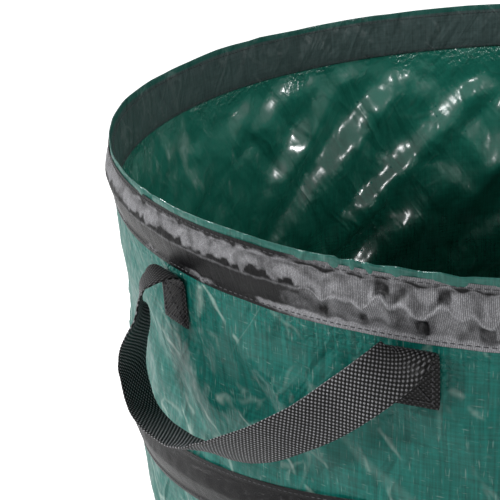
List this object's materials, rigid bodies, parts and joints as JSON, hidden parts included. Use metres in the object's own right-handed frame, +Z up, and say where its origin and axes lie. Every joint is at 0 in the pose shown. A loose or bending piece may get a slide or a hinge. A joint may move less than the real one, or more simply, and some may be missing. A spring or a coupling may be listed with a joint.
{
  "type": "pop up leaf bag",
  "caption": "Round collapsible garden bag with a spiral spring sleeve, taped rim and base rings and webbing handle loops.",
  "frame": {"origin": "middle of the round base, on the ground", "axes": "+Z up along the bag's axis, -Y to the front handle, +Y to the back handle"},
  "size_m": [0.5662, 0.6206, 0.68],
  "materials": {
    "woven_cloth": "laminated weave, satin",
    "hem_cloth": "folded weave, satin",
    "black_tape": "fine weave, sheen",
    "black_webbing": "coarse basket weave",
    "spring_steel": "drawn wire"
  },
  "bodies": {
    "base": {"base_panel": "woven_cloth", "base_hem": "hem_cloth", "base_band": "black_tape", "base_ring_wire": "spring_steel", "wall_tier_1": "woven_cloth", "side_seam": "woven_cloth", "spiral_sleeve": "black_tape", "spiral_wire": "spring_steel"},
    "tier_2": {"wall_tier_2": "woven_cloth"},
    "tier_3": {"wall_tier_3": "woven_cloth"},
    "tier_4": {"wall_tier_4": "woven_cloth"},
    "rim": {"rim_wall": "woven_cloth", "rim_facing": "hem_cloth", "rim_hem": "hem_cloth", "rim_band": "black_tape", "rim_ring_wire": "spring_steel", "handle_end_front_left": "black_webbing", "handle_end_front_right": "black_webbing", "handle_end_back_left": "black_webbing", "handle_end_back_right": "black_webbing"},
    "handle_front": {"handle_loop_front": "black_webbing"},
    "handle_back": {"handle_loop_back": "black_webbing"}
  },
  "joints": [
    {"name": "collapse", "type": "slide", "parent": "base", "child": "rim", "axis": [0, 0, -1], "range_m": [0, 0.565], "stiffness_N_per_m": 60, "springref_m": -0.14, "deforming": ["wall_tier_1", "side_seam", "spiral_sleeve", "spiral_wire"]},
    {"name": "fold_2", "type": "slide", "parent": "base", "child": "tier_2", "axis": [0, 0, -1], "range_m": [0, 0.15], "deforming": ["wall_tier_2"]},
    {"name": "fold_3", "type": "slide", "parent": "base", "child": "tier_3", "axis": [0, 0, -1], "range_m": [0, 0.29], "deforming": ["wall_tier_3"]},
    {"name": "fold_4", "type": "slide", "parent": "base", "child": "tier_4", "axis": [0, 0, -1], "range_m": [0, 0.43], "deforming": ["wall_tier_4"]},
    {"name": "front_handle_swing", "type": "hinge", "parent": "rim", "child": "handle_front", "pos_m": [0, -0.28042, 0.642], "axis": [-1, 0, 0], "range_deg": [0, 115]},
    {"name": "back_handle_swing", "type": "hinge", "parent": "rim", "child": "handle_back", "pos_m": [0, 0.28042, 0.642], "axis": [1, 0, 0], "range_deg": [0, 115]}
  ],
  "couplings": [
    {"joint": "fold_2", "follows": "collapse", "ratio": 0.2572},
    {"joint": "fold_3", "follows": "collapse", "ratio": 0.5048},
    {"joint": "fold_4", "follows": "collapse", "ratio": 0.7524}
  ]
}
